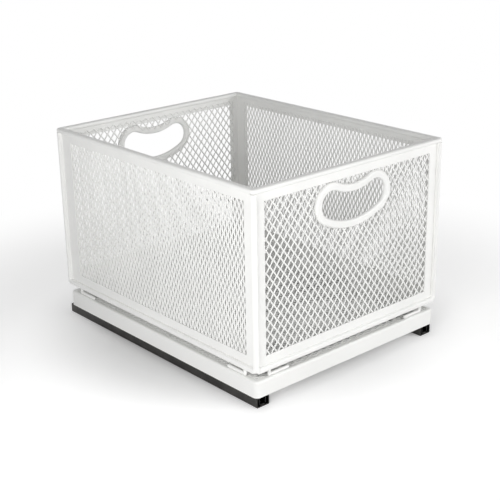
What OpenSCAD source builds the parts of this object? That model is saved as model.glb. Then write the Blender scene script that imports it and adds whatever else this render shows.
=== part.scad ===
// Pull-out cabinet basket: a lift-off mesh basket on a mesh tray that runs on two flat ball slides.
// Millimetres. X across the cabinet, -Y towards the user, Z up from the cabinet floor.

/* [Basket] */
// Width over the beads
basket_w = 300; // [240:1:420]
// Depth over the beads
basket_d = 371; // [300:1:420]
// Height from the beads' underside to the rim's top
basket_h = 208; // [170:1:300]
// Radius of the four upright corners, seen from above
corner_r = 5; // [3:0.1:14]
// Height of the rim's bead
rim_h = 5.5; // [5.2:0.1:9]
// Width of the bead round each wall frame
bead_w = 6.5; // [5.6:0.1:8]
// Depth of the beads, from the outside inwards
bead_t = 8.5; // [7.5:0.1:8.7]
// Rounding of the beads' long edges
bead_edge_r = 2.4; // [1:0.1:2.5]
// Radius of the wall frames' lower corners, seen from the side
foot_corner_r = 8.2; // [8.2:0.1:14]
// Thickness of the basket's sheet steel
sheet_t = 1; // [0.8:0.1:1.2]
// How far the frames' flat sheet lies behind the beads' outer face
sheet_inset = 4.5; // [3:0.1:5]
// Width of the flat strip beside the mesh of the front and back walls
end_strip_w = 12.5; // [9:0.5:20]
// Width of the flat strip at the front end of the side walls' mesh
side_strip_w = 13.5; // [9:0.5:20]
// Width of the flat strip at the rear end of the side walls' mesh
rear_strip_w = 19.5; // [9:0.5:30]
// Width of the flat strip above the mesh
top_strip_w = 10.5; // [9:0.5:15]
// Width of the flat strip below the mesh
low_strip_w = 10.2; // [9:0.1:15]
// Width of the flat border round the floor's mesh
floor_strip_w = 12; // [9:0.5:25]
// Height of the floor sheet above the beads' underside
floor_rise = 3; // [2:0.1:5]

/* [Expanded mesh] */
// Thickness of the expanded sheet
mesh_t = 1; // [0.8:0.1:1.6]
// Width of a strand
strand_w = 3.4; // [2:0.1:4]
// Short pitch of the diamonds
pitch_short = 25; // [20:0.5:36]
// Long pitch of the diamonds
pitch_long = 32; // [26:0.5:44]
// How far a mesh panel laps its frame
mesh_lap = 6; // [3:0.5:8]

/* [Grip] */
// Half the distance between the two upper lobes' centres
lobe_x = 34.5; // [25:0.5:45]
// Radius of the opening's lobes
lobe_r = 15.5; // [10:0.5:18]
// Rise of the lobes' tops above the opening's lowest point
grip_rise = 39.5; // [36:0.5:50]
// How far the opening's top edge dips between the lobes
grip_dip = 7.5; // [4:0.5:12]
// Width of the rolled collar round the opening
collar_w = 9; // [6:0.5:10]
// Depth of the collar
collar_t = 5.3; // [4:0.1:5.4]
// Depth of the opening's lowest point below the rim's top
grip_z = 65; // [58:1:88]

/* [Feet] */
// Diameter of the foot wire
wire_d = 4; // [3:0.1:5]
// Distance of the foot's upright from the basket's corner
foot_stand = 25; // [18:0.5:40]
// Length of the foot's lower leg
foot_leg = 27; // [15:0.5:50]
// Distance of the wire's centre from the basket's outer face
foot_inset = 6.5; // [5:0.1:8]
// Gap between the tray's deck and the basket's beads
basket_gap = 10; // [9:0.1:20]
// Clearance under the feet
seat_gap = 0.3; // [0.2:0.05:0.5]

/* [Tray] */
// How far the tray stands back from the basket's outer faces
tray_inset = 2.6; // [1:0.1:4]
// Height of the tray's frame
tray_h = 19.6; // [16:0.1:40]
// Radius of the deck's corners, inside the ridge
deck_corner_r = 1; // [0.5:0.5:15]
// Thickness of the tray's sheet steel
tray_t = 1.2; // [1:0.1:1.5]
// Width of the raised ridge round the deck
ridge_w = 5; // [4:0.5:8]
// Width of the upper flange that carries the deck
flange_w = 13; // [10:0.5:20]
// Width of the lower flange that the slides are riveted to
base_flange_w = 28; // [26:0.5:40]
// Rounding of the tray's upper edge
tray_edge_r = 2.5; // [1:0.1:3]
// Width of a cross bar under the deck
bar_w = 30; // [20:1:50]
// Depth of a cross bar
bar_h = 8; // [5:0.5:12]
// Distance of the cross bars from the tray's front and back
bar_set_in = 95; // [60:1:120]

/* [Slides] */
// Length of the fixed outer rail
rail_len = 368; // [330:1:430]
// Width of the outer rail
rail_w = 18.5; // [17:0.1:20]
// Height of the outer rail
rail_h = 11.8; // [9:0.1:13]
// Gap between the outer rail's lips and the tray
rail_gap = 1.2; // [1:0.1:2]
// Thickness of the rails' steel
rail_t = 1.2; // [1:0.1:1.3]
// Length of the inner rail
inner_len = 358; // [320:1:365]
// Length of the rubber buffer in the outer rail's rear end
buffer_len = 8.7; // [5:0.1:15]
// How far the outer rails' front ends stand back from the basket's front
rail_setback = 5; // [3:0.5:12]
// Distance of the outer rail from the tray's side
rail_inset = 2.1; // [1:0.1:8]
// Width of the outer rail's rolled lips
lip_w = 2.2; // [1.5:0.1:2.5]
// Diameter of the balls
ball_d = 3.5; // [3:0.1:3.6]
// Clearance round a ball
ball_gap = 0.05; // [0.02:0.01:0.08]
// Depth of the ball grooves
groove_depth = 0.35; // [0.2:0.05:0.5]
// Number of balls on each side of a cage
balls_per_side = 12; // [4:1:12]
// Length of a ball cage
cage_len = 80; // [70:1:90]
// Thickness of the cage's sheet
cage_t = 0.6; // [0.4:0.1:0.8]
// How far the tray pulls out
travel = 265; // [150:1:265]
// Diameter of the outer rails' screw holes
screw_hole_d = 4.2; // [3.5:0.1:5]
// Distance of the end screw holes from the outer rail's ends
screw_end = 40; // [25:1:80]
// Diameter of the rivets that hold the tray on the inner rails
rivet_d = 3; // [2.5:0.1:3.4]
// Distance of the end rivets from the inner rail's ends
rivet_end = 30; // [20:1:80]

/* [Hidden] */
$fn = 48;
powder_white = [0.95, 0.95, 0.94];
black_steel = [0.09, 0.09, 0.09];
bright_steel = [0.75, 0.76, 0.78];
inner_steel = [0.16, 0.16, 0.17];
soft_black = [0.05, 0.05, 0.05];
eps = 0.01;
cut = 1;

// The front face of the basket and the rear end of the rails are the part's ends in Y
overall_d = rail_setback + rail_len;
front_y = -overall_d / 2;
basket_mid_y = front_y + basket_d / 2;
deck_z = rail_h + rail_gap + tray_h;
basket_z = deck_z + basket_gap;
wall_h = basket_h - rim_h;
end_len = basket_w;
side_len = basket_d;
window_z = bead_w + low_strip_w;
window_h = wall_h - top_strip_w - window_z;
tray_z = rail_h + rail_gap;
tray_w = basket_w - 2 * tray_inset;
tray_d = basket_d - 2 * tray_inset;
tray_r = ridge_w + deck_corner_r;

// Grip outline: two lobes joined by a wide lower arc and a dipping upper arc, all tangent
grip_base = basket_h - grip_z;
lobe_z = grip_rise - lobe_r;
low_arc_r = (lobe_x * lobe_x + lobe_z * lobe_z - lobe_r * lobe_r) / (2 * (lobe_z - lobe_r));
dip_z = grip_rise - grip_dip - lobe_z;
top_arc_r = (lobe_x * lobe_x + dip_z * dip_z - lobe_r * lobe_r) / (2 * (lobe_r - dip_z));
low_arc_a = atan(lobe_x / (low_arc_r - lobe_z));
top_arc_a = atan(lobe_x / (top_arc_r + dip_z));

// Slide section, from the rail's middle
rail_x = basket_w / 2 - tray_inset - rail_inset - rail_w / 2;
rail_front = front_y + rail_setback;
ball_r = ball_d / 2;
race_r = ball_r + ball_gap;
ball_x = rail_w / 2 - rail_t - race_r + groove_depth;
inner_x = ball_x - race_r + groove_depth;
floor_gap = 0.7;
cage_gap = 0.4;
inner_low_z = rail_t + floor_gap + cage_t + cage_gap;
ball_z = inner_low_z + cage_gap + race_r;
lip_z = rail_h - rail_t;
cage_top_z = lip_z - cage_gap;
buffer_gap = 0.3;
buffer_y = rail_front + rail_len - buffer_len;
inner_rear = buffer_y - buffer_gap;
inner_front = inner_rear - inner_len;
cage_start = 5;
cage_rest = rail_front + cage_start + travel / 2;
ball_pitch = cage_len / balls_per_side;
screw_rows = [rail_front + screw_end, rail_front + rail_len / 2, rail_front + rail_len - screw_end];
// The rivets stand where the tray and the inner rail lie over each other
joined_front = max(inner_front, basket_mid_y - tray_d / 2);
joined_rear = min(inner_rear, basket_mid_y + tray_d / 2);
rivet_rows = [joined_front + rivet_end, (joined_front + joined_rear) / 2, joined_rear - rivet_end];

// Flat rounded rectangle w by d, centred
module rounded_plate(w, d, r) {
  square([w - 2 * r, d], center = true);
  square([w, d - 2 * r], center = true);
  for (x = [-1, 1], y = [-1, 1]) translate([x * (w / 2 - r), y * (d / 2 - r)]) circle(r);
}

// Bead section: u from 0 to w, v from 0 to t, with round edges
module bead_section(w, t) {
  translate([w / 2, t / 2]) rounded_plate(w, t, bead_edge_r);
}

// Everything inside the basket's round-cornered outline
module basket_envelope() {
  translate([0, basket_mid_y, basket_z - cut]) linear_extrude(basket_h + 2 * cut)
    rounded_plate(basket_w, basket_d, corner_r);
}

// Clips a polygon's points p to the side s of the line coordinate k = x
function clip_line(p, k, x, s) = [for (i = [0 : len(p) - 1])
    let (a = p[i], b = p[(i + 1) % len(p)], in_a = s * (a[k] - x) >= 0, in_b = s * (b[k] - x) >= 0)
    each concat(in_a ? [a] : [], in_a != in_b ? [a + (b - a) * (x - a[k]) / (b[k] - a[k])] : [])];
function clip_some(p, k, x, s) = len(p) < 3 ? [] : clip_line(p, k, x, s);
function clip_box(p, x, y) =
    clip_some(clip_some(clip_some(clip_some(p, 0, -x, 1), 0, x, -1), 1, -y, 1), 1, y, -1);
function area(p) = len(p) < 3 ? 0 : abs([for (i = [0 : len(p) - 1])
    let (a = p[i], b = p[(i + 1) % len(p)]) a[0] * b[1] - a[1] * b[0]] * [for (i = p) 0.5]);

// Expanded sheet with diamond holes in a window w by h; px and py are the diamond's pitches
module expanded_sheet(w, h, px, py) {
  shrink = 1 - strand_w / (px * py / 2 / norm([px / 2, py / 2]));
  tip_x = shrink * px / 2;
  tip_y = shrink * py / 2;
  smallest = 4;
  nx = ceil(w / px) + 1;
  ny = ceil(h / py) + 1;
  difference() {
    square([w + 2 * mesh_lap, h + 2 * mesh_lap], center = true);
    for (i = [-nx : nx], j = [-ny : ny]) if ((i + j) % 2 == 0) {
      centre = [i * px / 2, j * py / 2];
      diamond = [for (c = [[tip_x, 0], [0, tip_y], [-tip_x, 0], [0, -tip_y]]) centre + c];
      hole = clip_box(diamond, w / 2, h / 2);
      if (area(hole) > smallest) polygon(hole);
    }
  }
}

// Puts a child that is drawn in X (along the wall), Y (inwards) and Z on one of the four walls
module on_wall(side) {
  turn = side == "front" ? 0 : side == "right" ? 90 : side == "back" ? 180 : 270;
  reach = side == "front" || side == "back" ? basket_d / 2 : basket_w / 2;
  translate([0, basket_mid_y, basket_z]) rotate([0, 0, turn]) translate([0, -reach, 0]) children();
}

// Sweeps a section (x inwards, y up) round a rectangle w by d with corners of radius r. What the
// section has beyond r meets at the corner as the straight lengths cross
module sweep_round(w, d, r, reach) {
  flat_w = w - 2 * r;
  flat_d = d - 2 * r;
  for (s = [0, 180]) rotate([0, 0, s]) {
    translate([-flat_w / 2, -d / 2, 0]) rotate([90, 0, 90]) linear_extrude(flat_w) children();
    translate([w / 2, -flat_d / 2, 0]) rotate([90, 0, 180]) linear_extrude(flat_d) children();
    for (m = [1, -1]) translate([flat_w / 2, m * flat_d / 2, 0])
      rotate([0, 0, m > 0 ? 0 : -90]) rotate_extrude(angle = 90) translate([r, 0]) mirror([1, 0])
        intersection() {
          children();
          translate([0, -reach]) square([r, 2 * reach]);
        }
  }
}

// Rolled rim round the top
module basket_rim() {
  color(powder_white) translate([0, basket_mid_y, basket_z + wall_h])
    sweep_round(basket_w, basket_d, corner_r, 2 * rim_h) bead_section(bead_t, rim_h);
}

// Bead of one wall: two uprights, the lower bar and two round lower corners
module wall_bead(len) {
  bar = len - 2 * foot_corner_r;
  for (s = [1, -1]) {
    translate([s * (len / 2 - bead_w / 2), 0, foot_corner_r]) linear_extrude(wall_h - foot_corner_r)
      translate([-bead_w / 2, 0]) bead_section(bead_w, bead_t);
    translate([s * bar / 2, 0, foot_corner_r]) rotate([-90, s > 0 ? 0 : 90, 0]) rotate_extrude(angle = 90)
      translate([foot_corner_r - bead_w, 0]) bead_section(bead_w, bead_t);
  }
  translate([-bar / 2, 0, 0]) rotate([90, 0, 90]) linear_extrude(bar)
    bead_section(bead_t, bead_w);
}

// Pressed frame of one wall: the bead and the flat strips round the window, mitred at the corners.
// The strips beside the window are strip_a wide at the -X end and strip_b wide at the +X end
module wall_frame(len, strip_a, strip_b) {
  window_x = -len / 2 + bead_w + strip_a;
  window_w = len / 2 - bead_w - strip_b - window_x;
  intersection() {
    difference() {
      union() {
        wall_bead(len);
        translate([-len / 2 + bead_w / 2, sheet_inset, bead_w / 2])
          cube([len - bead_w, sheet_t, wall_h - bead_w / 2]);
      }
      translate([window_x, sheet_inset - cut, window_z]) cube([window_w, sheet_t + 2 * cut, window_h]);
    }
    mitre_wedge(len);
  }
}

// The region between the two 45 degree mitre planes
module mitre_wedge(len) {
  deep = bead_t + cut;
  translate([0, 0, -cut]) linear_extrude(wall_h + 2 * cut)
    polygon([[-len / 2, 0], [len / 2, 0], [len / 2 - deep, deep], [-len / 2 + deep, deep]]);
}

module front_wall_frame() {
  color(powder_white) intersection() {
    on_wall("front") wall_frame(end_len, end_strip_w, end_strip_w);
    basket_envelope();
  }
}

module back_wall_frame() {
  color(powder_white) intersection() {
    on_wall("back") wall_frame(end_len, end_strip_w, end_strip_w);
    basket_envelope();
  }
}

module left_wall_frame() {
  color(powder_white) intersection() {
    on_wall("left") wall_frame(side_len, rear_strip_w, side_strip_w);
    basket_envelope();
  }
}

module right_wall_frame() {
  color(powder_white) intersection() {
    on_wall("right") wall_frame(side_len, side_strip_w, rear_strip_w);
    basket_envelope();
  }
}

// Mesh welded behind a wall frame, with an optional cut for the grip
module wall_mesh(len, strip_a, strip_b, grip) {
  window_w = len - 2 * bead_w - strip_a - strip_b;
  middle = (strip_a - strip_b) / 2;
  translate([0, sheet_inset + sheet_t + mesh_t, 0]) rotate([90, 0, 0]) linear_extrude(mesh_t) difference() {
    translate([middle, window_z + window_h / 2])
      expanded_sheet(window_w, window_h, pitch_short, pitch_long);
    if (grip) translate([0, grip_base]) grip_outline(collar_w / 2);
  }
}

module front_wall_mesh() {
  color(powder_white) on_wall("front") wall_mesh(end_len, end_strip_w, end_strip_w, true);
}

module back_wall_mesh() {
  color(powder_white) on_wall("back") wall_mesh(end_len, end_strip_w, end_strip_w, true);
}

module left_wall_mesh() {
  color(powder_white) on_wall("left") wall_mesh(side_len, rear_strip_w, side_strip_w, false);
}

module right_wall_mesh() {
  color(powder_white) on_wall("right") wall_mesh(side_len, side_strip_w, rear_strip_w, false);
}

// Grip opening grown by g, drawn with its lowest point at the origin when g is 0
module grip_outline(g) {
  low_c = low_arc_r;
  top_c = lobe_z + dip_z + top_arc_r;
  // Where the line through the lower arc's and the lobe's centres leaves the grown outline
  join_x = lobe_x + (lobe_r + 2 * g) * sin(low_arc_a);
  join_z = lobe_z - (lobe_r + 2 * g) * cos(low_arc_a);
  for (s = [1, -1]) translate([s * lobe_x, lobe_z]) circle(lobe_r + g);
  intersection() {
    translate([0, low_c]) circle(low_arc_r + g, $fn = 96);
    polygon([[0, low_c], [join_x, join_z], [0, -2 * collar_w], [-join_x, join_z]]);
    translate([-lobe_x - lobe_r, -2 * collar_w]) square([2 * (lobe_x + lobe_r), lobe_z + 2 * collar_w]);
  }
  difference() {
    polygon([[-lobe_x, lobe_z], [lobe_x, lobe_z], [0, top_c]]);
    translate([0, top_c]) circle(top_arc_r - g, $fn = 96);
  }
}

// One arc of the collar: centre c, middle radius r, from angle a0 over a, slimmed by s all round
module collar_arc(c, r, a0, a, s) {
  translate([c[0], -s, c[1]]) rotate([90, 0, 0]) rotate([0, 0, a0]) rotate_extrude(angle = a)
    translate([r - collar_w / 2 + s, 0]) bead_section(collar_w - 2 * s, collar_t - 2 * s);
}

// Rolled collar round the grip opening, on the mesh's face; the long arcs plug into the lobes
module grip_collar() {
  mid = collar_w / 2;
  slim = 0.06;
  plug = 1;
  lobe_turn = 180 - low_arc_a + top_arc_a;
  translate([0, sheet_inset + sheet_t, grip_base]) union() {
    collar_arc([0, low_arc_r], low_arc_r + mid, -90 - low_arc_a - plug / 2, 2 * low_arc_a + plug, slim);
    collar_arc([0, lobe_z + dip_z + top_arc_r], top_arc_r - mid, -90 - top_arc_a - plug / 2,
      2 * top_arc_a + plug, slim);
    collar_arc([lobe_x, lobe_z], lobe_r + mid, -90 + low_arc_a, lobe_turn, 0);
    collar_arc([-lobe_x, lobe_z], lobe_r + mid, 90 - top_arc_a, lobe_turn, 0);
  }
}

module front_grip_collar() {
  color(powder_white) on_wall("front") grip_collar();
}

module back_grip_collar() {
  color(powder_white) on_wall("back") grip_collar();
}

// Flat border of the basket's floor, welded between the wall frames' lower beads
module floor_frame() {
  w = basket_w - 2 * bead_t;
  d = basket_d - 2 * bead_t;
  color(powder_white) translate([0, basket_mid_y, basket_z + floor_rise]) linear_extrude(sheet_t)
    difference() {
      square([w, d], center = true);
      square([w - 2 * floor_strip_w, d - 2 * floor_strip_w], center = true);
    }
}

module floor_mesh() {
  w = basket_w - 2 * (bead_t + floor_strip_w);
  d = basket_d - 2 * (bead_t + floor_strip_w);
  color(powder_white) translate([0, basket_mid_y, basket_z + floor_rise + sheet_t]) linear_extrude(mesh_t)
    expanded_sheet(w, d, pitch_long, pitch_short);
}

// Bent wire foot under one corner: leg, upright, diagonal, upright, leg. x and y are 1 at the front left
// corner and -1 on the far sides. The wire swells a little where it is bent and at its round ends
module corner_foot(x, y) {
  swell = 0.03;
  low = deck_z + seat_gap + wire_d / 2;
  high = basket_z - wire_d / 2;
  route = [[foot_stand + foot_leg, foot_inset, low], [foot_stand, foot_inset, low],
      [foot_stand, foot_inset, high], [foot_inset, foot_stand, high],
      [foot_inset, foot_stand, low], [foot_inset, foot_stand + foot_leg, low]];
  color(powder_white) translate([0, basket_mid_y, 0]) mirror([1 - x, 0, 0]) mirror([0, 1 - y, 0])
    translate([-basket_w / 2, -basket_d / 2, 0]) union() {
      for (p = route) translate(p) sphere(wire_d / 2 + swell);
      for (i = [0 : len(route) - 2]) wire(route[i], route[i + 1]);
    }
}

// Straight wire from a to b
module wire(a, b) {
  v = b - a;
  lean = atan2(norm([v[0], v[1]]), v[2]);
  translate(a) rotate([0, lean, atan2(v[1], v[0])]) cylinder(h = norm(v), d = wire_d);
}

module front_left_foot() {
  corner_foot(1, 1);
}

module front_right_foot() {
  corner_foot(-1, 1);
}

module back_left_foot() {
  corner_foot(1, -1);
}

module back_right_foot() {
  corner_foot(-1, -1);
}

// Section of the tray's folded edge: side wall, round upper edge, ridge and joggle
module tray_edge_section() {
  r = tray_edge_r;
  square([tray_t, tray_h - r]);
  translate([r, tray_h - tray_t]) square([ridge_w - r, tray_t]);
  translate([ridge_w - tray_t, tray_h - mesh_t - tray_t]) square([tray_t, mesh_t + tray_t]);
  translate([r, tray_h - r]) intersection() {
    difference() {
      circle(r);
      circle(r - tray_t);
    }
    translate([-r, 0]) square([r, r]);
  }
}

// Flat flange of the tray: its outline stands in by s from the tray's side, its inner edge by w
module tray_flange(s, w) {
  linear_extrude(tray_t) difference() {
    rounded_plate(tray_w - 2 * s, tray_d - 2 * s, tray_r - s);
    square([tray_w - 2 * w, tray_d - 2 * w], center = true);
  }
}

// Folded steel frame: side wall with a ridge, a joggled flange under the deck, and a lower flange
module tray_frame() {
  color(powder_white) difference() {
    translate([0, basket_mid_y, tray_z]) union() {
      sweep_round(tray_w, tray_d, tray_r, 2 * tray_h) tray_edge_section();
      translate([0, 0, tray_h - mesh_t - tray_t]) tray_flange(ridge_w - tray_t / 2, flange_w);
      tray_flange(tray_t / 2, base_flange_w);
    }
    for (s = [1, -1], y = rivet_rows) translate([s * rail_x, y, tray_z - cut])
      cylinder(h = tray_t + 2 * cut, d = rivet_d + 2 * ball_gap);
  }
}

module tray_deck_mesh() {
  edge_gap = 0.2;
  blind = 4;
  w = tray_w - 2 * (ridge_w + blind);
  d = tray_d - 2 * (ridge_w + blind);
  color(powder_white) translate([0, basket_mid_y, deck_z - mesh_t]) linear_extrude(mesh_t) intersection() {
    expanded_sheet(w, d, pitch_long, pitch_short);
    rounded_plate(tray_w - 2 * (ridge_w + edge_gap), tray_d - 2 * (ridge_w + edge_gap), tray_r - ridge_w);
  }
}

// Hat-section bar across the tray, hung from the upper flanges
module cross_bar(y) {
  w = tray_w - 2 * tray_t - 2 * ball_gap;
  top = deck_z - mesh_t - tray_t;
  web = bar_w - 2 * bar_h;
  inner = w - 2 * flange_w;
  color(powder_white) translate([0, y, 0]) union() {
    translate([-w / 2, -bar_w / 2, top - tray_t]) cube([w, bar_w, tray_t]);
    for (m = [1, -1]) translate([-inner / 2, m * (bar_w / 2 - tray_t / 2) - tray_t / 2, top - bar_h])
      cube([inner, tray_t, bar_h]);
    translate([-inner / 2, -web / 2, top - tray_t]) cube([inner, web, 2 * tray_t]);
  }
}

module tray_front_cross_bar() {
  cross_bar(basket_mid_y - tray_d / 2 + bar_set_in);
}

module tray_rear_cross_bar() {
  cross_bar(basket_mid_y + tray_d / 2 - bar_set_in);
}

// Puts a child drawn in the section plane (x across, y up) along the rail: from y0 over len
module along_rail(side, y0, len) {
  translate([side * rail_x, y0 + len, 0]) rotate([90, 0, 0]) linear_extrude(len) children();
}

// Section of the outer rail: web, sides with ball grooves, and rolled-in lips
module outer_section() {
  r = 1.5;
  difference() {
    union() {
      translate([0, rail_h / 2]) rounded_plate(rail_w, rail_h, r);
      translate([-rail_w / 2 + r, 0]) square([rail_w - 2 * r, rail_t]);
    }
    translate([-rail_w / 2 + rail_t, rail_t]) square([rail_w - 2 * rail_t, lip_z - rail_t]);
    translate([-rail_w / 2 + rail_t + lip_w, rail_t]) square([rail_w - 2 * rail_t - 2 * lip_w, rail_h]);
    for (s = [1, -1]) translate([s * ball_x, ball_z]) circle(race_r);
  }
}

// Fixed rail with countersunk screw holes and a pressed stop at its front end
module outer_rail(side) {
  stop_len = 3;
  stop_w = 6;
  stop_gap = 0.3;
  stop_set_in = 1;
  color(black_steel) difference() {
    union() {
      along_rail(side, rail_front, rail_len) outer_section();
      translate([side * rail_x - stop_w / 2, rail_front + stop_set_in, rail_t / 2])
        cube([stop_w, stop_len, inner_low_z - rail_t / 2 - stop_gap]);
    }
    for (y = screw_rows) translate([side * rail_x, y, -cut])
      cylinder(h = rail_t + 2 * cut, d = screw_hole_d);
  }
}

module left_outer_rail() {
  outer_rail(-1);
}

module right_outer_rail() {
  outer_rail(1);
}

// Rubber buffer pressed into the outer rail's rear end
module rear_buffer(side) {
  side_gap = 0.1;
  w = rail_w - 2 * rail_t - 2 * side_gap;
  h = lip_z - rail_t - 2 * side_gap;
  color(soft_black) along_rail(side, buffer_y, buffer_len)
    translate([0, rail_t + side_gap + h / 2]) rounded_plate(w, h, 1);
}

module left_rear_buffer() {
  rear_buffer(-1);
}

module right_rear_buffer() {
  rear_buffer(1);
}

// Section of the inner rail: a deep inverted channel with a ball groove in each side
module inner_section() {
  top = rail_h + rail_gap;
  r = 1;
  difference() {
    union() {
      translate([-inner_x, inner_low_z]) square([2 * inner_x, top - inner_low_z - r]);
      translate([-inner_x + r, inner_low_z]) square([2 * (inner_x - r), top - inner_low_z]);
      for (s = [1, -1]) translate([s * (inner_x - r), top - r]) circle(r);
    }
    translate([-inner_x + rail_t, inner_low_z - cut])
      square([2 * (inner_x - rail_t), top - inner_low_z - rail_t + cut]);
    for (s = [1, -1]) translate([s * ball_x, ball_z]) circle(race_r);
  }
}

// Moving rail with rivet holes and a stop lug bent down at its rear end
module inner_rail(side) {
  lug_t = 1.5;
  lug_y = inner_rear - lug_t;
  top = rail_h + rail_gap;
  color(inner_steel) difference() {
    union() {
      along_rail(side, inner_front, inner_len) inner_section();
      translate([side * rail_x - inner_x + rail_t / 2, lug_y, inner_low_z])
        cube([2 * inner_x - rail_t, lug_t, top - rail_t / 2 - inner_low_z]);
    }
    for (y = rivet_rows) translate([side * rail_x, y, top - rail_t - cut])
      cylinder(h = rail_t + 2 * cut, d = rivet_d + 2 * ball_gap);
  }
}

module left_inner_rail() {
  inner_rail(-1);
}

module right_inner_rail() {
  inner_rail(1);
}

// Rivets through the tray's lower flange and the inner rail's web, with a domed head and a flat tail
module rivets(side) {
  head_r = 1.1 * rivet_d;
  head_h = 0.5 * rivet_d;
  dome = dome_r(head_r, head_h);
  tail_h = 1;
  grip = tray_t + rail_t;
  color(bright_steel) for (y = rivet_rows) translate([side * rail_x, y, tray_z + tray_t]) union() {
    rotate_extrude() difference() {
      translate([0, head_h - dome]) circle(dome);
      translate([-2 * dome, -4 * head_r]) square([4 * dome, 4 * head_r]);
      translate([-4 * head_r, -4 * head_r]) square([4 * head_r, 8 * head_r]);
    }
    translate([0, 0, -grip - tail_h]) cylinder(h = grip + tail_h + eps, d = rivet_d);
    translate([0, 0, -grip - tail_h]) cylinder(h = tail_h, d = 1.5 * rivet_d);
  }
}

// Radius of the sphere whose cap has base radius r and height h
function dome_r(r, h) = (r * r + h * h) / (2 * h);

module left_rivets() {
  rivets(-1);
}

module right_rivets() {
  rivets(1);
}

// Ball positions along one side of a cage
function ball_rows() = [for (i = [0 : balls_per_side - 1]) cage_rest + ball_pitch * (i + 0.5)];

// Folded cage between the rails: two upright strips with ball holes, joined by a web
module ball_cage(side) {
  web_z = rail_t + floor_gap;
  strip_h = cage_top_z - web_z;
  outer = ball_x + cage_t / 2;
  color(bright_steel) difference() {
    along_rail(side, cage_rest, cage_len) union() {
      translate([-outer, web_z]) square([2 * outer, cage_t]);
      for (s = [1, -1]) translate([s * ball_x - cage_t / 2, web_z]) square([cage_t, strip_h]);
    }
    for (s = [1, -1], y = ball_rows()) translate([side * rail_x + s * ball_x, y, ball_z])
      rotate([0, 90, 0]) cylinder(h = 4 * cage_t, r = race_r, center = true);
  }
}

module left_ball_cage() {
  ball_cage(-1);
}

module right_ball_cage() {
  ball_cage(1);
}

module balls(side) {
  color(bright_steel) for (s = [1, -1], y = ball_rows())
    translate([side * rail_x + s * ball_x, y, ball_z]) sphere(ball_r);
}

module left_balls() {
  balls(-1);
}

module right_balls() {
  balls(1);
}

left_outer_rail();
right_outer_rail();
left_rear_buffer();
right_rear_buffer();
left_ball_cage();
right_ball_cage();
left_balls();
right_balls();
left_inner_rail();
right_inner_rail();
left_rivets();
right_rivets();
tray_frame();
tray_deck_mesh();
tray_front_cross_bar();
tray_rear_cross_bar();
basket_rim();
front_wall_frame();
back_wall_frame();
left_wall_frame();
right_wall_frame();
front_wall_mesh();
back_wall_mesh();
left_wall_mesh();
right_wall_mesh();
floor_frame();
floor_mesh();
front_grip_collar();
back_grip_collar();
front_left_foot();
front_right_foot();
back_left_foot();
back_right_foot();
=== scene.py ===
import math
import bmesh
import bpy
import numpy as np
from mathutils import Matrix, Vector


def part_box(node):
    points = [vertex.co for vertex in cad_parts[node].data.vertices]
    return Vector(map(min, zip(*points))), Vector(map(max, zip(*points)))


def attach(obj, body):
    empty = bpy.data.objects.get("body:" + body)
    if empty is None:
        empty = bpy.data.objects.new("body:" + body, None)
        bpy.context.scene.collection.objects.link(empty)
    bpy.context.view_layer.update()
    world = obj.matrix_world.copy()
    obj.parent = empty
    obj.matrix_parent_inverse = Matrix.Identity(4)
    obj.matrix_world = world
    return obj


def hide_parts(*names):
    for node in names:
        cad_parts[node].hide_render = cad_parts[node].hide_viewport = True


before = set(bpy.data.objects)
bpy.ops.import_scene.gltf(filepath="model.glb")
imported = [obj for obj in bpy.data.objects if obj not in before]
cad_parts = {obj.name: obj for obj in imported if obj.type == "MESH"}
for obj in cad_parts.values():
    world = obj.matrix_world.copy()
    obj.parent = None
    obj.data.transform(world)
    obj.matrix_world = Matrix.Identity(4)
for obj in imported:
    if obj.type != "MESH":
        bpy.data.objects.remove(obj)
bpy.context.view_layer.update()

mm = 0.001
scene = bpy.context.scene


# sRGB hex to the linear colour that a shader takes
def linear(hexColour):
    parts = [int(hexColour[i:i + 2], 16) / 255 for i in (1, 3, 5)]
    return tuple(c / 12.92 if c <= 0.04045 else ((c + 0.055) / 1.055) ** 2.4 for c in parts) + (1.0,)


# Adds one node: an input is linked where it is given a socket, and set where it is given a value
def addNode(tree, kind, inputs={}, **settings):
    node = tree.nodes.new(kind)
    for name, value in settings.items():
        setattr(node, name, value)
    for socket, value in inputs.items():
        if isinstance(value, bpy.types.NodeSocket):
            tree.links.new(value, node.inputs[socket])
        else:
            node.inputs[socket].default_value = value
    return node


def newMesh(name, verts, faces):
    mesh = bpy.data.meshes.new(name)
    mesh.from_pydata(verts, [], faces)
    mesh.update()
    thing = bpy.data.objects.new(name, mesh)
    scene.collection.objects.link(thing)
    return thing


# An empty material, its tree and the place on the piece that its patterns follow
def startMaterial(name):
    material = bpy.data.materials.new(name)
    material.use_nodes = True
    tree = material.node_tree
    tree.nodes.clear()
    return material, tree, addNode(tree, "ShaderNodeTexCoord").outputs["Object"]


# Colour drifts between two close tones, in patches of a real size. The noise keeps mostly between
# these two values, so the ramp spans them
drift = {"detail": 2.0, "from": 0.34, "to": 0.66}


def driftingTone(tree, place, size, shade, colour):
    cloud = addNode(tree, "ShaderNodeTexNoise", {"Scale": 1 / size, "Detail": drift["detail"],
                                                 "Vector": place})
    tone = addNode(tree, "ShaderNodeValToRGB", {"Fac": cloud.outputs["Fac"]})
    tone.color_ramp.elements[0].position = drift["from"]
    tone.color_ramp.elements[0].color = linear(shade)
    tone.color_ramp.elements[1].position = drift["to"]
    tone.color_ramp.elements[1].color = linear(colour)
    return tone.outputs["Color"]


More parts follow.
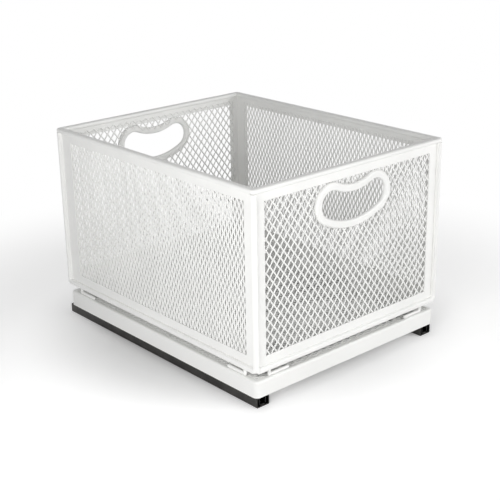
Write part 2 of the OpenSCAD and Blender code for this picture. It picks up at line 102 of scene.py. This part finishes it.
# Polyester powder, sprayed dry and baked: an even white skin with a satin gloss that breaks up
# highlights in a fine orange peel, a little thinner and greyer where the powder has run less
def powderCoat(name, coat):
    material, tree, place = startMaterial(name)
    tone = driftingTone(tree, place, coat["driftSize"], coat["shade"], coat["colour"])
    peel = addNode(tree, "ShaderNodeTexNoise", {"Scale": 1 / coat["peelSize"], "Detail": coat["peelDetail"],
                                                "Vector": place}).outputs["Fac"]
    gloss = addNode(tree, "ShaderNodeMapRange", {"To Min": coat["gloss"][0], "To Max": coat["gloss"][1],
                                                 "Value": peel})
    bump = addNode(tree, "ShaderNodeBump", {"Strength": coat["peelStrength"], "Distance": coat["peelDepth"],
                                            "Height": peel})
    skin = addNode(tree, "ShaderNodeBsdfPrincipled",
                   {"Base Color": tone, "Roughness": gloss.outputs["Result"],
                    "Normal": bump.outputs["Normal"], "IOR": coat["ior"]})
    addNode(tree, "ShaderNodeOutputMaterial", {"Surface": skin.outputs["BSDF"]})
    return material


# Steel that came through rollers or dies: long drawing lines that streak the gloss along the
# strip, over a plating or paint that mottles a little
def drawnFinish(name, steel):
    material, tree, place = startMaterial(name)
    tone = driftingTone(tree, place, steel["blotchSize"], steel["shade"], steel["colour"])
    stretch = addNode(tree, "ShaderNodeMapping", {"Scale": steel["lineStretch"], "Vector": place})
    lines = addNode(tree, "ShaderNodeTexNoise",
                    {"Scale": 1 / steel["lineSize"], "Detail": steel["lineDetail"],
                     "Vector": stretch.outputs["Vector"]}).outputs["Fac"]
    gloss = addNode(tree, "ShaderNodeMapRange", {"To Min": steel["gloss"][0], "To Max": steel["gloss"][1],
                                                 "Value": lines})
    bump = addNode(tree, "ShaderNodeBump",
                   {"Strength": steel["lineStrength"], "Distance": steel["lineDepth"], "Height": lines})
    skin = addNode(tree, "ShaderNodeBsdfPrincipled",
                   {"Base Color": tone, "Roughness": gloss.outputs["Result"],
                    "Normal": bump.outputs["Normal"], "Metallic": steel["metallic"]})
    addNode(tree, "ShaderNodeOutputMaterial", {"Surface": skin.outputs["BSDF"]})
    return material


# White coat on pressed sheet, satin. The orange peel is drawn at 1.4 mm, near the coarse end of
# the real 0.5 to 1.5 mm, so that it shows
sheetCoat = {"colour": "#f7f7f5", "shade": "#f3f3f1", "driftSize": 60 * mm, "peelSize": 1.4 * mm,
             "peelDetail": 1.5, "peelStrength": 0.12, "peelDepth": 0.03 * mm, "gloss": (0.34, 0.44),
             "ior": 1.5}
# On the thin strands the powder lies a little thinner, so they are a shade greyer and less glossy
meshCoat = dict(sheetCoat, colour="#f5f5f3", shade="#f0f0ee", gloss=(0.4, 0.5), peelSize=1.1 * mm)
# On round wire it flows out best, which gives the sharpest highlights
wireCoat = dict(sheetCoat, gloss=(0.32, 0.4), peelSize=1.0 * mm)
# The folded tray has the same coat, in broader and fainter patches
trayCoat = dict(sheetCoat, colour="#f6f6f4", shade="#f2f2f0", driftSize=80 * mm)
# Black zinc plating on roll-formed strip: dark, but still a metal, so its flanks mirror the pale floor
railPlating = {"colour": "#4c4b49", "shade": "#403f3e", "metallic": 1.0, "gloss": (0.24, 0.36),
               "lineStretch": (1.0, 0.04, 1.0), "lineSize": 0.8 * mm, "lineDetail": 3.0,
               "lineStrength": 0.15, "lineDepth": 0.02 * mm, "blotchSize": 14 * mm}
# Inner rail: the same plating, smoother where the balls run, and darker as painted shade inside the channel
innerPlatingWithPaintedShade = dict(railPlating, colour="#3a3a3b", shade="#303031", gloss=(0.2, 0.32))
# Clear zinc plating on spring strip: bright, faintly blue and streaked along the strip
zincPlating = dict(railPlating, colour="#c9cbcf", shade="#b4b7bc", gloss=(0.26, 0.42),
                   lineStretch=(1.0, 0.1, 1.0), lineSize=0.6 * mm, lineDepth=0.01 * mm, blotchSize=5 * mm)
# Clear zinc on headed rivets: duller than strip, with no run of lines
rivetPlating = dict(zincPlating, colour="#b9bbbf", shade="#a6a8ad", gloss=(0.3, 0.45),
                    lineStretch=(1.0, 1.0, 1.0))
# Ground and polished bearing steel: mirror-like, with hardly any line left
ballPolish = dict(rivetPlating, colour="#d9dadc", shade="#cfd0d3", gloss=(0.06, 0.12), lineSize=0.5 * mm,
                  lineDepth=0.002 * mm, blotchSize=2 * mm)
# Moulded nitrile rubber: no metal and hardly any gloss, a matt black that stays dark from every side
rubberSkin = {"colour": "#1c1b1b", "shade": "#151414", "metallic": 0.0, "gloss": (0.72, 0.86),
              "lineStretch": (1.0, 1.0, 1.0), "lineSize": 0.4 * mm, "lineDetail": 3.0,
              "lineStrength": 0.15, "lineDepth": 0.03 * mm, "blotchSize": 6 * mm}

powderOnSheet = powderCoat("whitePowderCoatOnPressedSteel", sheetCoat)
powderOnMesh = powderCoat("whitePowderCoatOnExpandedSteel", meshCoat)
powderOnWire = powderCoat("whitePowderCoatOnDrawnWire", wireCoat)
powderOnTray = powderCoat("whitePowderCoatOnFoldedSheet", trayCoat)
blackRail = drawnFinish("blackZincOnRollFormedSteel", railPlating)
# The inner rail's finish is painted shade: a darker copy of the rail plating
blackInnerWithPaintedShade = drawnFinish("blackZincOnRollFormedSteelInnerWithPaintedShade", innerPlatingWithPaintedShade)
platedCage = drawnFinish("clearZincOnSpringSteel", zincPlating)
polishedBall = drawnFinish("polishedBearingSteel", ballPolish)
platedRivet = drawnFinish("clearZincOnHeadedRivet", rivetPlating)
mouldedRubber = drawnFinish("mouldedNitrileRubber", rubberSkin)

finish = {}
for node in ("basket_rim", "front_wall_frame", "back_wall_frame", "left_wall_frame", "right_wall_frame",
             "floor_frame", "front_grip_collar", "back_grip_collar"):
    finish[node] = powderOnSheet
for node in ("front_wall_mesh", "back_wall_mesh", "left_wall_mesh", "right_wall_mesh", "floor_mesh",
             "tray_deck_mesh"):
    finish[node] = powderOnMesh
for node in ("front_left_foot", "front_right_foot", "back_left_foot", "back_right_foot"):
    finish[node] = powderOnWire
for node in ("tray_frame", "tray_front_cross_bar", "tray_rear_cross_bar"):
    finish[node] = powderOnTray
for side in ("left", "right"):
    finish[side + "_outer_rail"] = blackRail
    # the inner rail gets the rail plating darkened as painted shade
    finish[side + "_inner_rail"] = blackInnerWithPaintedShade
    finish[side + "_rear_buffer"] = mouldedRubber
    finish[side + "_ball_cage"] = platedCage
    finish[side + "_balls"] = polishedBall
    finish[side + "_rivets"] = platedRivet
for name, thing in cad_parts.items():
    thing.data.materials.clear()
    thing.data.materials.append(finish[name])
print("stage: materials on", len(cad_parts), "nodes")


# Expanded metal: a staggered grid of bonds, each with the two slanted strands that leave it. X runs
# along the diamonds' long way, Y along their short way
def strandTree(name):
    tree = bpy.data.node_groups.new(name, "GeometryNodeTree")
    face = tree.interface
    face.new_socket("Geometry", in_out="OUTPUT", socket_type="NodeSocketGeometry")
    for label, kind in (("Bonds Along", "NodeSocketInt"), ("Bonds Across", "NodeSocketInt"),
                        ("Long Pitch", "NodeSocketFloat"), ("Short Pitch", "NodeSocketFloat"),
                        ("Strand Width", "NodeSocketFloat"), ("Strand Thickness", "NodeSocketFloat"),
                        ("Edge Softness", "NodeSocketFloat"), ("Tilt", "NodeSocketFloat"),
                        ("Bond Step", "NodeSocketFloat"), ("Coating", "NodeSocketMaterial")):
        face.new_socket(label, in_out="INPUT", socket_type=kind)
    given = addNode(tree, "NodeGroupInput").outputs

    # Each row adds one sum, from the inputs, the rows above it and plain numbers
    value = {item.name: given[item.name] for item in face.items_tree if item.in_out == "INPUT"}
    value["number"] = addNode(tree, "GeometryNodeInputIndex").outputs[0]
    for result, operation, *parts in (
            ("halfLong", "MULTIPLY", "Long Pitch", 0.5),
            ("halfShort", "MULTIPLY", "Short Pitch", 0.5),
            ("halfWidth", "MULTIPLY", "Strand Width", 0.5),
            ("step", "MULTIPLY", "halfWidth", "Bond Step"),
            ("tiltCosine", "COSINE", "Tilt"),
            ("tiltSine", "SINE", "Tilt"),
            ("startY", "MULTIPLY", "step", "tiltCosine"),
            ("startZ", "MULTIPLY", "step", "tiltSine"),
            ("endY", "SUBTRACT", "halfShort", "startY"),
            ("endZ", "MULTIPLY", "startZ", -1.0),
            ("edge", "MULTIPLY", "Strand Thickness", "Edge Softness"),
            ("gapsAlong", "SUBTRACT", "Bonds Along", 1.0),
            ("gapsAcross", "SUBTRACT", "Bonds Across", 1.0),
            ("spanX", "MULTIPLY", "gapsAlong", "halfLong"),
            ("spanY", "MULTIPLY", "gapsAcross", "halfShort"),
            ("share", "DIVIDE", "number", "Bonds Across"),
            ("column", "FLOOR", "share"),
            ("row", "MODULO", "number", "Bonds Across"),
            ("both", "ADD", "column", "row"),
            ("odd", "MODULO", "both", 2.0)):
        terms = {i: value.get(part, part) for i, part in enumerate(parts)}
        value[result] = addNode(tree, "ShaderNodeMath", terms, operation=operation).outputs[0]

    start = addNode(tree, "ShaderNodeCombineXYZ", {"Y": value["startY"], "Z": value["startZ"]})
    end = addNode(tree, "ShaderNodeCombineXYZ",
                  {"X": value["halfLong"], "Y": value["endY"], "Z": value["endZ"]})
    line = addNode(tree, "GeometryNodeCurvePrimitiveLine",
                   {"Start": start.outputs[0], "End": end.outputs[0]})
    level = addNode(tree, "GeometryNodeSetCurveNormal", {"Curve": line.outputs[0]}, mode="Z_UP")
    turned = addNode(tree, "GeometryNodeSetCurveTilt", {"Curve": level.outputs[0], "Tilt": value["Tilt"]})
    flat = addNode(tree, "GeometryNodeCurvePrimitiveQuadrilateral",
                   {"Width": value["Strand Width"], "Height": value["Strand Thickness"]})
    soft = addNode(tree, "GeometryNodeFilletCurve",
                   {"Count": 1, "Limit Radius": True, "Curve": flat.outputs[0], "Radius": value["edge"]},
                   mode="POLY")
    strand = addNode(tree, "GeometryNodeCurveToMesh", {"Fill Caps": True, "Curve": turned.outputs[0],
                                                       "Profile Curve": soft.outputs[0]})
    mirrored = addNode(tree, "GeometryNodeTransform", {"Scale": (-1, 1, 1), "Geometry": strand.outputs[0]})
    outward = addNode(tree, "GeometryNodeFlipFaces", {"Mesh": mirrored.outputs[0]})
    pair = addNode(tree, "GeometryNodeJoinGeometry")
    for half in (strand, outward):
        tree.links.new(half.outputs[0], pair.inputs[0])

    grid = addNode(tree, "GeometryNodeMeshGrid", {"Size X": value["spanX"], "Size Y": value["spanY"],
                                                  "Vertices X": value["Bonds Along"],
                                                  "Vertices Y": value["Bonds Across"]})
    bonds = addNode(tree, "GeometryNodeDeleteGeometry",
                    {"Geometry": grid.outputs[0], "Selection": value["odd"]})
    spread = addNode(tree, "GeometryNodeInstanceOnPoints", {"Points": bonds.outputs[0],
                                                            "Instance": pair.outputs[0]})
    solid = addNode(tree, "GeometryNodeRealizeInstances", {"Geometry": spread.outputs[0]})
    coated = addNode(tree, "GeometryNodeSetMaterial", {"Geometry": solid.outputs[0],
                                                       "Material": value["Coating"]})
    addNode(tree, "NodeGroupOutput", {0: coated.outputs[0]})
    return tree


# Runs a tree on an empty mesh and keeps the result as a plain mesh
def runTree(tree, name, values):
    holder = newMesh(name + "Maker", [(0, 0, 0)], [])
    modifier = holder.modifiers.new("make", "NODES")
    modifier.node_group = tree
    for item in tree.interface.items_tree:
        if item.in_out == "INPUT":
            modifier[item.identifier] = values[item.name]
    bpy.context.view_layer.update()
    graph = bpy.context.evaluated_depsgraph_get()
    mesh = bpy.data.meshes.new_from_object(holder.evaluated_get(graph))
    mesh.name = name
    holder.modifiers.clear()
    bpy.data.objects.remove(holder)
    return mesh


def insideOutline(points, outline):
    inside = np.zeros(len(points), bool)
    for a, b in zip(outline, np.roll(outline, -1, axis=0)):
        crosses = (a[1] > points[:, 1]) != (b[1] > points[:, 1])
        rise = (b[1] - a[1]) or 1.0  # a level edge is never crossed
        inside ^= crosses & (points[:, 0] < (b[0] - a[0]) * (points[:, 1] - a[1]) / rise + a[0])
    return inside


def nearestOnOutline(points, outline):
    best = np.full(len(points), np.inf)
    found = points.copy()
    for a, b in zip(outline, np.roll(outline, -1, axis=0)):
        along = b - a
        t = np.clip(((points - a) @ along) / (along @ along), 0, 1)
        spot = a + t[:, None] * along
        gap = ((points - spot) ** 2).sum(axis=1)
        nearer = gap < best
        best[nearer] = gap[nearer]
        found[nearer] = spot[nearer]
    return found


# Cuts a panel out of the sheet: strands outside it go, and those at its edge or at the grip's
# hole are drawn in to that line
def trimStrands(mesh, halfLong, halfShort, vertsPerStrand, holeOutline):
    at = np.empty(len(mesh.vertices) * 3)
    mesh.vertices.foreach_get("co", at)
    at = at.reshape(-1, vertsPerStrand, 3)
    mid = at.mean(axis=1)
    keep = (abs(mid[:, 0]) < halfLong) & (abs(mid[:, 1]) < halfShort)
    at[:, :, 0] = np.clip(at[:, :, 0], -halfLong, halfLong)
    at[:, :, 1] = np.clip(at[:, :, 1], -halfShort, halfShort)
    if holeOutline is not None:
        keep &= ~insideOutline(mid[:, :2], holeOutline)
        flat = at.reshape(-1, 3)
        inside = insideOutline(flat[:, :2], holeOutline)
        flat[inside, :2] = nearestOnOutline(flat[inside, :2], holeOutline)
    mesh.vertices.foreach_set("co", at.reshape(-1))
    work = bmesh.new()
    work.from_mesh(mesh)
    work.verts.ensure_lookup_table()
    gone = np.repeat(~keep, vertsPerStrand)
    bmesh.ops.delete(work, geom=[v for v, g in zip(work.verts, gone) if g], context="VERTS")
    work.to_mesh(mesh)
    work.free()


# The grip's opening in mm: two round lobes, a wide arc below and a dipping arc above, each drawn in
# so many steps
grip = {"lobeX": 34.5, "lobeR": 15.5, "rise": 39.5, "dip": 7.5, "collarWidth": 9.0, "wideSteps": 24,
        "lobeSteps": 36}
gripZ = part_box("front_grip_collar")[0][2] + grip["collarWidth"] * mm


# Points (x, z) in mm round the opening, grown by grow, from its lowest point
def gripOutline(grow):
    x, r = grip["lobeX"], grip["lobeR"]
    z = grip["rise"] - r
    lowR = (x * x + z * z - r * r) / (2 * (z - r))
    dip = grip["rise"] - grip["dip"] - z
    topR = (x * x + dip * dip - r * r) / (2 * (r - dip))
    lowA = math.atan2(x, lowR - z)
    topA = math.atan2(x, topR + dip)
    turn = math.pi - lowA + topA
    points = []
    for centreX, centreZ, radius, start, sweep, steps in (
            (0, lowR, lowR + grow, -math.pi / 2 - lowA, 2 * lowA, grip["wideSteps"]),
            (x, z, r + grow, -math.pi / 2 + lowA, turn, grip["lobeSteps"]),
            (0, z + dip + topR, topR - grow, -math.pi / 2 + topA, -2 * topA, grip["wideSteps"]),
            (-x, z, r + grow, math.pi / 2 - topA, turn, grip["lobeSteps"])):
        for i in range(steps):
            a = start + sweep * i / steps
            points.append((centreX + math.cos(a) * radius, centreZ + math.sin(a) * radius))
    return np.array(points)


# Bonds that cover a length with some to spare. They stand half a pitch apart, and the count is
# odd, so that one stands in the middle
def bondCount(length, pitch):
    return 4 * math.ceil(length / pitch / mm / 2) + 3


# One sheet of expanded metal: made flat, cut out, turned into its wall, floor or deck, and laid
# against the face of the frame that carries it
def expandedPanel(spec, tree):
    low, high = (Vector(corner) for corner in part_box(spec["node"]))
    middle = (low + high) / 2
    turn = Matrix((spec["long"], spec["short"], spec["normal"])).transposed()
    halfLong, halfShort, halfDeep = (abs(s) / 2 for s in turn.inverted() @ (high - low))
    tilt = math.radians(spec["tilt"])
    mesh = runTree(tree, spec["name"], {"Bonds Along": bondCount(2 * halfLong, spec["longPitch"]),
                                        "Bonds Across": bondCount(2 * halfShort, spec["shortPitch"]),
                                        "Long Pitch": spec["longPitch"] * mm,
                                        "Short Pitch": spec["shortPitch"] * mm,
                                        "Strand Width": spec["width"] * mm,
                                        "Strand Thickness": spec["thick"] * mm,
                                        "Edge Softness": spec["softness"],
                                        "Tilt": tilt, "Bond Step": spec["bondStep"],
                                        "Coating": powderOnMesh})
    hole = None
    if spec["hole"]:
        outline = gripOutline(grip["collarWidth"] / 2) * mm
        hole = np.stack([outline[:, 1] + gripZ - middle.z, outline[:, 0]], axis=1)
    trimStrands(mesh, halfLong, halfShort, spec["strandVerts"], hole)
    deep = (spec["width"] * abs(math.sin(tilt)) + spec["thick"] * math.cos(tilt)) / 2 * mm
    seat = Vector(spec["inward"]) * max(deep - halfDeep, 0)
    mesh.transform(Matrix.Translation(middle + seat) @ turn.to_4x4())
    mesh.update()
    thing = bpy.data.objects.new(spec["name"], mesh)
    scene.collection.objects.link(thing)
    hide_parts(spec["node"])
    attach(thing, spec["body"])
    return thing


# Lengths in mm, tilt in degrees; bondStep is how far the strands part at a bond, as a share of
# their width, softness is the rounding of their edges, as a share of their thickness, and a strand
# has strandVerts vertices: 8 round its section at each of its 2 ends
endMesh = {"longPitch": 12.8, "shortPitch": 10.26, "width": 1.7, "thick": 0.8, "tilt": -10, "bondStep": 0.3,
           "softness": 0.3, "strandVerts": 16, "hole": True, "body": "basket",
           "long": (0, 0, 1), "short": (1, 0, 0), "normal": (0, 1, 0)}
sideMesh = dict(endMesh, longPitch=12.33, shortPitch=6.53, width=1.9, tilt=8, bondStep=0.8, hole=False,
                short=(0, -1, 0), normal=(1, 0, 0))
flatMesh = dict(sideMesh, longPitch=12.8, width=2.0, tilt=-8, long=(1, 0, 0), short=(0, 1, 0),
                normal=(0, 0, 1), inward=(0, 0, 1))
panels = [
    dict(endMesh, name="frontExpandedMetal", node="front_wall_mesh", inward=(0, 1, 0)),
    dict(endMesh, name="backExpandedMetal", node="back_wall_mesh", inward=(0, -1, 0)),
    dict(sideMesh, name="leftExpandedMetal", node="left_wall_mesh", inward=(1, 0, 0)),
    dict(sideMesh, name="rightExpandedMetal", node="right_wall_mesh", inward=(-1, 0, 0)),
    dict(flatMesh, name="floorExpandedMetal", node="floor_mesh"),
    dict(flatMesh, name="deckExpandedMetal", node="tray_deck_mesh", body="tray", thick=0.7, tilt=-6),
]
meshTree = strandTree("expandedMetal")
for spec in panels:
    panel = expandedPanel(spec, meshTree)
    print("stage:", spec["name"], len(panel.data.polygons), "faces")


# Matt white paper under the part, in metres. Near the part it is lit like everything else and keeps
# the shadow; from liftRadius out the camera sees it lighter, and past whiteRadius as plain white
paper = {"colour": "#f6f6f6", "size": 12.0, "liftRadius": 0.14, "litRadius": 0.30, "whiteRadius": 0.62,
         "lift": 0.42}


def studioFloor():
    s = paper["size"]
    floor = newMesh("studioFloor", [(-s, -s, 0), (s, -s, 0), (s, s, 0), (-s, s, 0)], [(0, 1, 2, 3)])
    material, tree, place = startMaterial("mattWhiteBackgroundPaper")
    lit = addNode(tree, "ShaderNodeBsdfDiffuse", {"Color": linear(paper["colour"])})
    away = addNode(tree, "ShaderNodeVectorMath", {0: place}, operation="LENGTH").outputs["Value"]
    clear = addNode(tree, "ShaderNodeMapRange",
                    {"From Min": paper["liftRadius"], "From Max": paper["litRadius"], "Value": away},
                    interpolation_type="SMOOTHSTEP")
    lift = addNode(tree, "ShaderNodeMath", {0: clear.outputs["Result"], 1: paper["lift"]},
                   operation="MULTIPLY")
    glow = addNode(tree, "ShaderNodeEmission", {"Color": (1, 1, 1, 1), "Strength": lift.outputs[0]})
    near = addNode(tree, "ShaderNodeAddShader", {0: lit.outputs[0], 1: glow.outputs[0]})
    white = addNode(tree, "ShaderNodeEmission", {"Color": (1, 1, 1, 1), "Strength": 1.0})
    far = addNode(tree, "ShaderNodeMapRange",
                  {"From Min": paper["litRadius"], "From Max": paper["whiteRadius"], "Value": away},
                  interpolation_type="SMOOTHSTEP")
    shown = addNode(tree, "ShaderNodeMixShader", {"Fac": far.outputs["Result"], 1: near.outputs[0],
                                                  2: white.outputs[0]})
    path = addNode(tree, "ShaderNodeLightPath").outputs
    looking = addNode(tree, "ShaderNodeMath", {0: path["Is Camera Ray"], 1: path["Is Glossy Ray"]},
                      operation="MAXIMUM")
    seen = addNode(tree, "ShaderNodeMixShader", {"Fac": looking.outputs[0], 1: lit.outputs[0],
                                                 2: shown.outputs[0]})
    addNode(tree, "ShaderNodeOutputMaterial", {"Surface": seen.outputs[0]})
    floor.data.materials.append(material)


# A white room: its strength is what it gives the part, while the camera and the metals see plain white
room = {"strength": 0.28}


def studioWorld():
    world = bpy.data.worlds.new("studioWorld")
    scene.world = world
    world.use_nodes = True
    tree = world.node_tree
    tree.nodes.clear()
    soft = addNode(tree, "ShaderNodeBackground", {"Color": (1, 1, 1, 1), "Strength": room["strength"]})
    white = addNode(tree, "ShaderNodeBackground", {"Color": (1, 1, 1, 1), "Strength": 1.0})
    path = addNode(tree, "ShaderNodeLightPath").outputs
    looking = addNode(tree, "ShaderNodeMath", {0: path["Is Camera Ray"], 1: path["Is Glossy Ray"]},
                      operation="MAXIMUM")
    mix = addNode(tree, "ShaderNodeMixShader", {"Fac": looking.outputs[0], 1: soft.outputs[0],
                                                2: white.outputs[0]})
    addNode(tree, "ShaderNodeOutputWorld", {"Surface": mix.outputs[0]})


# The key lights the front evenly from the right; the small side lamp stands close by the left side,
# so that side grows paler towards the near corner, as it does in the photograph
lamps = [
    {"name": "keyLamp", "at": (0.9, -1.6, 0.6), "aim": (0, 0, 0.1), "width": 1.2, "height": 0.9,
     "power": 15.8},
    {"name": "sideLamp", "at": (-0.75, -0.45, 0.38), "aim": (-0.15, 0, 0.1), "width": 0.5, "height": 0.4,
     "power": 3.6},
]


def areaLamp(spec):
    lamp = bpy.data.lights.new(spec["name"], "AREA")
    lamp.shape = "RECTANGLE"
    lamp.size, lamp.size_y = spec["width"], spec["height"]
    lamp.energy = spec["power"]
    thing = bpy.data.objects.new(spec["name"], lamp)
    scene.collection.objects.link(thing)
    thing.location = spec["at"]
    thing.rotation_euler = (Vector(spec["aim"]) - Vector(spec["at"])).to_track_quat("-Z", "Y").to_euler()


# The photograph's viewpoint: angles in degrees, focal length in its pixels, the sensor in mm, the
# rest in metres
photoView = {"azimuth": -41.121, "elevation": 20.308, "roll": -1.0363, "focalPixels": 1089.2,
             "imagePixels": 500, "sensorWidth": 36, "centre": (0, 0, 0.125), "distance": 1.36156,
             "slideX": 0.0060766, "slideY": -0.0243869, "farthest": 50}


def photoCamera(view):
    az, el, roll = (math.radians(view[k]) for k in ("azimuth", "elevation", "roll"))
    back = Vector((math.sin(az) * math.cos(el), -math.cos(az) * math.cos(el), math.sin(el)))
    right = Vector((math.cos(az), math.sin(az), 0))
    up = back.cross(right)
    right, up = (math.cos(roll) * right + math.sin(roll) * up, math.cos(roll) * up - math.sin(roll) * right)
    camera = bpy.data.objects.new("photoCamera", bpy.data.cameras.new("photoCamera"))
    scene.collection.objects.link(camera)
    place = Vector(view["centre"]) + view["slideX"] * right + view["slideY"] * up + view["distance"] * back
    camera.matrix_world = Matrix.Translation(place) @ Matrix((right, up, back)).transposed().to_4x4()
    camera.data.sensor_width = view["sensorWidth"]
    camera.data.lens = view["focalPixels"] * view["sensorWidth"] / view["imagePixels"]
    camera.data.clip_end = view["farthest"]
    scene.camera = camera


studioFloor()
studioWorld()
for spec in lamps:
    areaLamp(spec)
photoCamera(photoView)
scene.view_settings.view_transform = "Standard"
print("stage: floor, light and camera")

bpy.context.view_layer.update()
